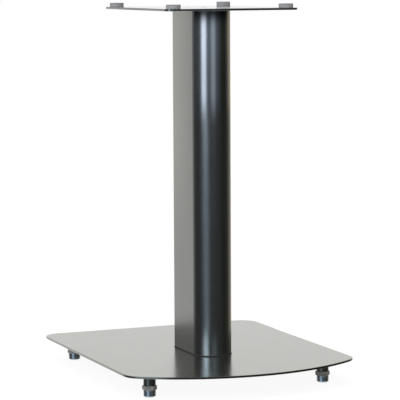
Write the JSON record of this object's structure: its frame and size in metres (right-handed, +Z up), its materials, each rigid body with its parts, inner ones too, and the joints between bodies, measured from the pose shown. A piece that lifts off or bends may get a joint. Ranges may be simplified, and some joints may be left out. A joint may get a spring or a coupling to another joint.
{
  "type": "speaker stand",
  "caption": "Floor stand for a bookshelf speaker: bowed steel base, D-section column, thin top plate with rubber pads, and screw-adjusted feet.",
  "frame": {"origin": "on the floor, under the middle of the base plate's length and width", "axes": "+Z up; -Y is the front, where the column is round and the base is bowed; the stand is symmetric about the plane X = 0"},
  "size_m": [0.33, 0.4099, 0.5125],
  "materials": {
    "gunmetal": "satin metallic gunmetal paint",
    "bare_steel": "mill finish, inside the column",
    "zinc_steel": "zinc plated",
    "black_oxide": "black oxide, satin",
    "dark_nickel": "turned and plated in black nickel",
    "grey_rubber": "matt grey rubber"
  },
  "bodies": {
    "stand": {"base_plate": "gunmetal", "column_tube": "gunmetal", "column_lower_plate": "bare_steel", "column_upper_plate": "bare_steel", "column_bolts": "zinc_steel", "column_washers": "zinc_steel", "top_plate": "gunmetal", "top_plate_screws": "black_oxide", "top_pad_front_left": "grey_rubber", "top_pad_front_right": "grey_rubber", "top_pad_back_left": "grey_rubber", "top_pad_back_right": "grey_rubber", "foot_boss_front_left": "gunmetal", "foot_boss_front_right": "gunmetal", "foot_boss_back_left": "gunmetal", "foot_boss_back_right": "gunmetal"},
    "foot_front_left": {"foot_glide_front_left": "dark_nickel"},
    "screw_front_left": {"foot_stud_front_left": "zinc_steel", "foot_nut_front_left": "black_oxide"},
    "foot_front_right": {"foot_glide_front_right": "dark_nickel"},
    "screw_front_right": {"foot_stud_front_right": "zinc_steel", "foot_nut_front_right": "black_oxide"},
    "foot_back_left": {"foot_glide_back_left": "dark_nickel"},
    "screw_back_left": {"foot_stud_back_left": "zinc_steel", "foot_nut_back_left": "black_oxide"},
    "foot_back_right": {"foot_glide_back_right": "dark_nickel"},
    "screw_back_right": {"foot_stud_back_right": "zinc_steel", "foot_nut_back_right": "black_oxide"}
  },
  "joints": [
    {"name": "front_left_height", "type": "slide", "parent": "stand", "child": "foot_front_left", "axis": [0, 0, -1], "range_m": [0, 0.0075]},
    {"name": "front_left_turn", "type": "hinge", "parent": "foot_front_left", "child": "screw_front_left", "pos_m": [-0.126, -0.126, 0.0125], "axis": [0, 0, -1], "range_deg": [0, 1800]},
    {"name": "front_right_height", "type": "slide", "parent": "stand", "child": "foot_front_right", "axis": [0, 0, -1], "range_m": [0, 0.0075]},
    {"name": "front_right_turn", "type": "hinge", "parent": "foot_front_right", "child": "screw_front_right", "pos_m": [0.126, -0.126, 0.0125], "axis": [0, 0, -1], "range_deg": [0, 1800]},
    {"name": "back_left_height", "type": "slide", "parent": "stand", "child": "foot_back_left", "axis": [0, 0, -1], "range_m": [0, 0.0075]},
    {"name": "back_left_turn", "type": "hinge", "parent": "foot_back_left", "child": "screw_back_left", "pos_m": [-0.126, 0.173, 0.0125], "axis": [0, 0, -1], "range_deg": [0, 1800]},
    {"name": "back_right_height", "type": "slide", "parent": "stand", "child": "foot_back_right", "axis": [0, 0, -1], "range_m": [0, 0.0075]},
    {"name": "back_right_turn", "type": "hinge", "parent": "foot_back_right", "child": "screw_back_right", "pos_m": [0.126, 0.173, 0.0125], "axis": [0, 0, -1], "range_deg": [0, 1800]}
  ],
  "couplings": [
    {"joint": "front_left_turn", "follows": "front_left_height", "rad_per_m": 4188.8},
    {"joint": "front_right_turn", "follows": "front_right_height", "rad_per_m": 4188.8},
    {"joint": "back_left_turn", "follows": "back_left_height", "rad_per_m": 4188.8},
    {"joint": "back_right_turn", "follows": "back_right_height", "rad_per_m": 4188.8}
  ]
}
